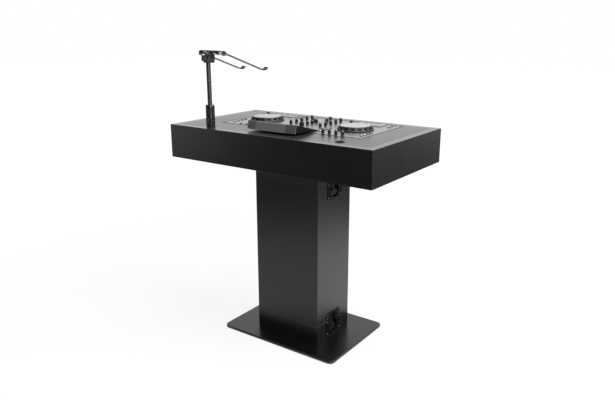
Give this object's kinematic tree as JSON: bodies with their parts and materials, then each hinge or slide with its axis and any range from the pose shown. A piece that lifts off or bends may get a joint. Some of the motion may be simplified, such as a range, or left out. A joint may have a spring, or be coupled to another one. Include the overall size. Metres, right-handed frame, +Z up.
{
  "type": "dj booth",
  "caption": "Pedestal DJ booth: shallow table box on a latched column and base plate, with an inset two-deck controller and a tilting laptop stand.",
  "frame": {"origin": "on the floor under the middle of the table box", "axes": "+X along the table, -Y to the audience, +Y to the performer, +Z up"},
  "size_m": [1.05, 0.6, 1.3063],
  "materials": {
    "base_steel": "satin powder coat",
    "foot_rubber": "matt",
    "column_board": "satin black laminate",
    "table_board": "satin black laminate",
    "insert_board": "matt black laminate",
    "inner_timber": "bare plywood",
    "bracket_steel": "zinc plated",
    "latch_black": "gloss black",
    "latch_moving": "gloss black",
    "socket_black": "satin black",
    "stand_tube": "semi-gloss black",
    "stand_grip": "ribbed satin",
    "head_black": "moulded satin",
    "cradle_steel": "satin powder coat",
    "bolt_steel": "blackened",
    "controller_case": "fine moulded texture",
    "panel_silver": "brushed silver",
    "screen_black": "gloss glass",
    "jog_black": "satin",
    "jog_silver": "spun silver",
    "knob_black": "rubbered",
    "fader_black": "satin",
    "pad_rubber": "translucent grey",
    "button_dark": "satin"
  },
  "bodies": {
    "booth": {"base_plate": "base_steel", "base_feet": "foot_rubber", "plinth_boards": "column_board", "column_face_panels": "column_board", "column_side_panels": "column_board", "collar_boards": "column_board", "locating_frames": "inner_timber", "corner_brackets": "bracket_steel", "table_long_boards": "table_board", "table_end_boards": "table_board", "table_floor": "table_board", "support_battens": "inner_timber", "insert_plate": "insert_board", "latch_dishes": "latch_black", "latch_keepers": "latch_black", "stand_sockets": "socket_black", "controller_chassis": "controller_case", "controller_panel": "panel_silver", "display_hood": "controller_case", "display_screen": "screen_black", "level_knobs": "knob_black", "performance_pads": "pad_rubber", "deck_buttons": "button_dark"},
    "rotor_lower_right": {"latch_rotor_lower_right": "latch_moving"},
    "wing_lower_right": {"latch_wing_lower_right": "latch_moving"},
    "hook_lower_right": {"latch_hook_lower_right": "latch_moving"},
    "rotor_lower_left": {"latch_rotor_lower_left": "latch_moving"},
    "wing_lower_left": {"latch_wing_lower_left": "latch_moving"},
    "hook_lower_left": {"latch_hook_lower_left": "latch_moving"},
    "rotor_upper_right": {"latch_rotor_upper_right": "latch_moving"},
    "wing_upper_right": {"latch_wing_upper_right": "latch_moving"},
    "hook_upper_right": {"latch_hook_upper_right": "latch_moving"},
    "rotor_upper_left": {"latch_rotor_upper_left": "latch_moving"},
    "wing_upper_left": {"latch_wing_upper_left": "latch_moving"},
    "hook_upper_left": {"latch_hook_upper_left": "latch_moving"},
    "sleeve": {"stand_sleeve": "stand_grip"},
    "clutch": {"stand_clutch": "stand_grip"},
    "pole": {"stand_pole": "stand_tube", "tilt_head": "head_black"},
    "lever": {"tilt_lever": "head_black"},
    "cradle": {"cradle_plate": "cradle_steel", "arm_pivot_bolts": "bolt_steel"},
    "arm_left": {"cradle_arm_left": "cradle_steel"},
    "arm_right": {"cradle_arm_right": "cradle_steel"},
    "jog_left": {"jog_rim_left": "jog_black", "jog_plate_left": "jog_silver"},
    "jog_right": {"jog_rim_right": "jog_black", "jog_plate_right": "jog_silver"},
    "eq_knob_high_left_body": {"eq_knob_high_left": "knob_black"},
    "eq_knob_mid_left_body": {"eq_knob_mid_left": "knob_black"},
    "eq_knob_low_left_body": {"eq_knob_low_left": "knob_black"},
    "eq_knob_high_right_body": {"eq_knob_high_right": "knob_black"},
    "eq_knob_mid_right_body": {"eq_knob_mid_right": "knob_black"},
    "eq_knob_low_right_body": {"eq_knob_low_right": "knob_black"},
    "browse": {"browse_knob": "knob_black"},
    "channel_fader_left_cap": {"channel_fader_left": "fader_black"},
    "channel_fader_right_cap": {"channel_fader_right": "fader_black"},
    "tempo_fader_left_cap": {"tempo_fader_left": "fader_black"},
    "tempo_fader_right_cap": {"tempo_fader_right": "fader_black"},
    "crossfader_cap": {"crossfader": "fader_black"}
  },
  "joints": [
    {"name": "latch_turn_lower_right", "type": "hinge", "parent": "booth", "child": "rotor_lower_right", "pos_m": [0.17, 0, 0.06], "axis": [1, 0, 0], "range_deg": [0, 180]},
    {"name": "wing_fold_lower_right", "type": "hinge", "parent": "rotor_lower_right", "child": "wing_lower_right", "pos_m": [0.1662, 0, 0.06], "axis": [0, -1, 0], "range_deg": [0, 90]},
    {"name": "hook_lift_lower_right", "type": "slide", "parent": "booth", "child": "hook_lower_right", "axis": [0, 0, 1], "range_m": [0, 0.006]},
    {"name": "latch_turn_lower_left", "type": "hinge", "parent": "booth", "child": "rotor_lower_left", "pos_m": [-0.17, 0, 0.06], "axis": [-1, 0, 0], "range_deg": [0, 180]},
    {"name": "wing_fold_lower_left", "type": "hinge", "parent": "rotor_lower_left", "child": "wing_lower_left", "pos_m": [-0.1662, 0, 0.06], "axis": [0, 1, 0], "range_deg": [0, 90]},
    {"name": "hook_lift_lower_left", "type": "slide", "parent": "booth", "child": "hook_lower_left", "axis": [0, 0, 1], "range_m": [0, 0.006]},
    {"name": "latch_turn_upper_right", "type": "hinge", "parent": "booth", "child": "rotor_upper_right", "pos_m": [0.17, 0, 0.715], "axis": [1, 0, 0], "range_deg": [0, 180]},
    {"name": "wing_fold_upper_right", "type": "hinge", "parent": "rotor_upper_right", "child": "wing_upper_right", "pos_m": [0.1662, 0, 0.715], "axis": [0, -1, 0], "range_deg": [0, 90]},
    {"name": "hook_lift_upper_right", "type": "slide", "parent": "booth", "child": "hook_upper_right", "axis": [0, 0, 1], "range_m": [0, 0.006]},
    {"name": "latch_turn_upper_left", "type": "hinge", "parent": "booth", "child": "rotor_upper_left", "pos_m": [-0.17, 0, 0.715], "axis": [-1, 0, 0], "range_deg": [0, 180]},
    {"name": "wing_fold_upper_left", "type": "hinge", "parent": "rotor_upper_left", "child": "wing_upper_left", "pos_m": [-0.1662, 0, 0.715], "axis": [0, 1, 0], "range_deg": [0, 90]},
    {"name": "hook_lift_upper_left", "type": "slide", "parent": "booth", "child": "hook_upper_left", "axis": [0, 0, 1], "range_m": [0, 0.006]},
    {"name": "stand_swivel", "type": "hinge", "parent": "booth", "child": "sleeve", "pos_m": [-0.34, -0.23, 0.982], "axis": [0, 0, 1], "continuous": true},
    {"name": "clutch_twist", "type": "hinge", "parent": "sleeve", "child": "clutch", "pos_m": [-0.34, -0.23, 1.026], "axis": [0, 0, 1], "range_deg": [0, 120]},
    {"name": "pole_height", "type": "slide", "parent": "sleeve", "child": "pole", "axis": [0, 0, 1], "range_m": [-0.07, 0.025]},
    {"name": "lever_swing", "type": "hinge", "parent": "pole", "child": "lever", "pos_m": [-0.34, -0.216, 1.281], "axis": [1, 0, 0], "range_deg": [0, 60]},
    {"name": "cradle_tilt", "type": "hinge", "parent": "pole", "child": "cradle", "pos_m": [-0.34, -0.216, 1.281], "axis": [-1, 0, 0], "range_deg": [-25, 15]},
    {"name": "arm_swing_left", "type": "hinge", "parent": "cradle", "child": "arm_left", "pos_m": [-0.409, -0.20215, 1.2975], "axis": [0, 0.3123, 0.95], "range_deg": [-12, 30]},
    {"name": "arm_swing_right", "type": "hinge", "parent": "cradle", "child": "arm_right", "pos_m": [-0.271, -0.20215, 1.2975], "axis": [0, 0.3123, 0.95], "range_deg": [-30, 12]},
    {"name": "jog_spin_left", "type": "hinge", "parent": "booth", "child": "jog_left", "pos_m": [-0.241, 0.048, 0.98], "axis": [0, 0, 1], "continuous": true},
    {"name": "jog_spin_right", "type": "hinge", "parent": "booth", "child": "jog_right", "pos_m": [0.241, 0.048, 0.98], "axis": [0, 0, 1], "continuous": true},
    {"name": "eq_turn_high_left", "type": "hinge", "parent": "booth", "child": "eq_knob_high_left_body", "pos_m": [-0.08, 0.06, 0.98], "axis": [0, 0, 1], "range_deg": [-150, 150]},
    {"name": "eq_turn_mid_left", "type": "hinge", "parent": "booth", "child": "eq_knob_mid_left_body", "pos_m": [-0.08, 0.102, 0.98], "axis": [0, 0, 1], "range_deg": [-150, 150]},
    {"name": "eq_turn_low_left", "type": "hinge", "parent": "booth", "child": "eq_knob_low_left_body", "pos_m": [-0.08, 0.144, 0.98], "axis": [0, 0, 1], "range_deg": [-150, 150]},
    {"name": "eq_turn_high_right", "type": "hinge", "parent": "booth", "child": "eq_knob_high_right_body", "pos_m": [0.08, 0.06, 0.98], "axis": [0, 0, 1], "range_deg": [-150, 150]},
    {"name": "eq_turn_mid_right", "type": "hinge", "parent": "booth", "child": "eq_knob_mid_right_body", "pos_m": [0.08, 0.102, 0.98], "axis": [0, 0, 1], "range_deg": [-150, 150]},
    {"name": "eq_turn_low_right", "type": "hinge", "parent": "booth", "child": "eq_knob_low_right_body", "pos_m": [0.08, 0.144, 0.98], "axis": [0, 0, 1], "range_deg": [-150, 150]},
    {"name": "browse_turn", "type": "hinge", "parent": "booth", "child": "browse", "pos_m": [0, -0.01, 0.98], "axis": [0, 0, 1], "continuous": true},
    {"name": "channel_fader_left_slide", "type": "slide", "parent": "booth", "child": "channel_fader_left_cap", "axis": [0, 1, 0], "range_m": [-0.03, 0.03]},
    {"name": "channel_fader_right_slide", "type": "slide", "parent": "booth", "child": "channel_fader_right_cap", "axis": [0, 1, 0], "range_m": [-0.03, 0.03]},
    {"name": "tempo_fader_left_slide", "type": "slide", "parent": "booth", "child": "tempo_fader_left_cap", "axis": [0, 1, 0], "range_m": [-0.04, 0.04]},
    {"name": "tempo_fader_right_slide", "type": "slide", "parent": "booth", "child": "tempo_fader_right_cap", "axis": [0, 1, 0], "range_m": [-0.04, 0.04]},
    {"name": "crossfader_slide", "type": "slide", "parent": "booth", "child": "crossfader_cap", "axis": [1, 0, 0], "range_m": [-0.024, 0.024]}
  ],
  "couplings": [
    {"joint": "latch_turn_lower_right", "follows": "hook_lift_lower_right", "rad_per_m": 523.59},
    {"joint": "latch_turn_lower_left", "follows": "hook_lift_lower_left", "rad_per_m": 523.59},
    {"joint": "latch_turn_upper_right", "follows": "hook_lift_upper_right", "rad_per_m": 523.59},
    {"joint": "latch_turn_upper_left", "follows": "hook_lift_upper_left", "rad_per_m": 523.59}
  ]
}
